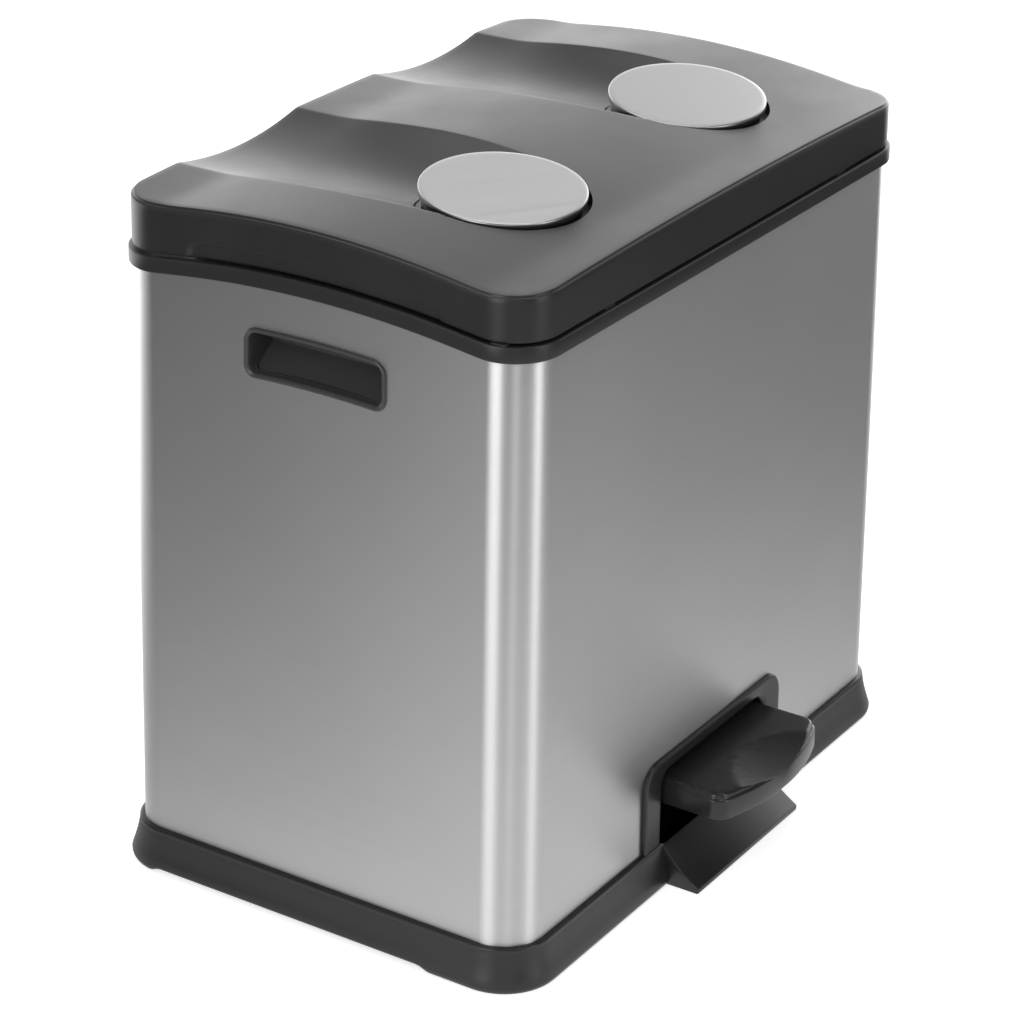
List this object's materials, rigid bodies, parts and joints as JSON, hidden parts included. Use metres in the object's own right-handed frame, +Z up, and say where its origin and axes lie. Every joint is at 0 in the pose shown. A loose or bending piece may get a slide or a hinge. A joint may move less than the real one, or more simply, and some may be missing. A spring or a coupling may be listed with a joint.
{
  "type": "double recycling bin",
  "caption": "Free-standing steel recycling bin with two lift-out buckets under one arched lid, which a front pedal raises through a lever and push rod.",
  "frame": {"origin": "on the floor under the middle of the bin's overall box, pedal included", "axes": "+Z up, +Y to the rear where the lid is hinged, +X to the right seen from the front, where the pedal is"},
  "size_m": [0.4992, 0.3796, 0.4905],
  "materials": {
    "black_plastic": "fine textured",
    "satin_steel": "satin",
    "zinc_steel": "zinc plated",
    "rubber": "matte",
    "nylon": "plain",
    "aluminium_tube": "satin",
    "bucket_plastic": "plain"
  },
  "bodies": {
    "bin": {"base_tray": "black_plastic", "foot_pads": "rubber", "steel_shell": "satin_steel", "rim_collar": "black_plastic", "pedal_surround": "black_plastic", "side_handle_left": "black_plastic", "side_handle_right": "black_plastic", "inner_deck": "black_plastic", "rod_cover": "black_plastic", "rod_guides": "nylon", "damper_cylinder": "aluminium_tube", "damper_strap": "black_plastic", "lever_brackets": "zinc_steel", "lever_axle": "zinc_steel", "hinge_brackets": "black_plastic", "hinge_pins": "zinc_steel", "hinge_screws": "zinc_steel", "lid_buffers": "rubber"},
    "lid": {"lid_shell": "black_plastic", "disc_left": "satin_steel", "disc_right": "satin_steel", "disc_seat_left": "black_plastic", "disc_seat_right": "black_plastic", "lid_crank": "zinc_steel", "crank_pin": "zinc_steel", "crank_screws": "zinc_steel"},
    "pedal": {"pedal_tread": "black_plastic", "pedal_lever": "zinc_steel", "lever_link_pin": "zinc_steel", "pedal_screws": "zinc_steel"},
    "rod": {"push_rod": "zinc_steel", "rod_yokes": "nylon", "damper_rod": "zinc_steel", "damper_arm": "nylon"},
    "left_bucket": {"bucket_left": "bucket_plastic"},
    "right_bucket": {"bucket_right": "bucket_plastic"}
  },
  "joints": [
    {"name": "lid_hinge", "type": "hinge", "parent": "bin", "child": "lid", "pos_m": [0, 0.1772, 0.447], "axis": [-1, 0, 0], "range_deg": [0, 78]},
    {"name": "pedal_hinge", "type": "hinge", "parent": "bin", "child": "pedal", "pos_m": [0, -0.0358, 0.046], "axis": [1, 0, 0], "range_deg": [0, 12]},
    {"name": "rod_slide", "type": "slide", "parent": "bin", "child": "rod", "axis": [0, 0, 1], "range_m": [0, 0.039]},
    {"name": "left_bucket_lift", "type": "slide", "parent": "bin", "child": "left_bucket", "axis": [0, 0, 1], "range_m": [0, 0.04]},
    {"name": "right_bucket_lift", "type": "slide", "parent": "bin", "child": "right_bucket", "axis": [0, 0, 1], "range_m": [0, 0.04]}
  ],
  "couplings": [
    {"joint": "pedal_hinge", "follows": "lid_hinge", "ratio": 0.1508},
    {"joint": "rod_slide", "follows": "lid_hinge", "m_per_rad": 0.0282}
  ]
}
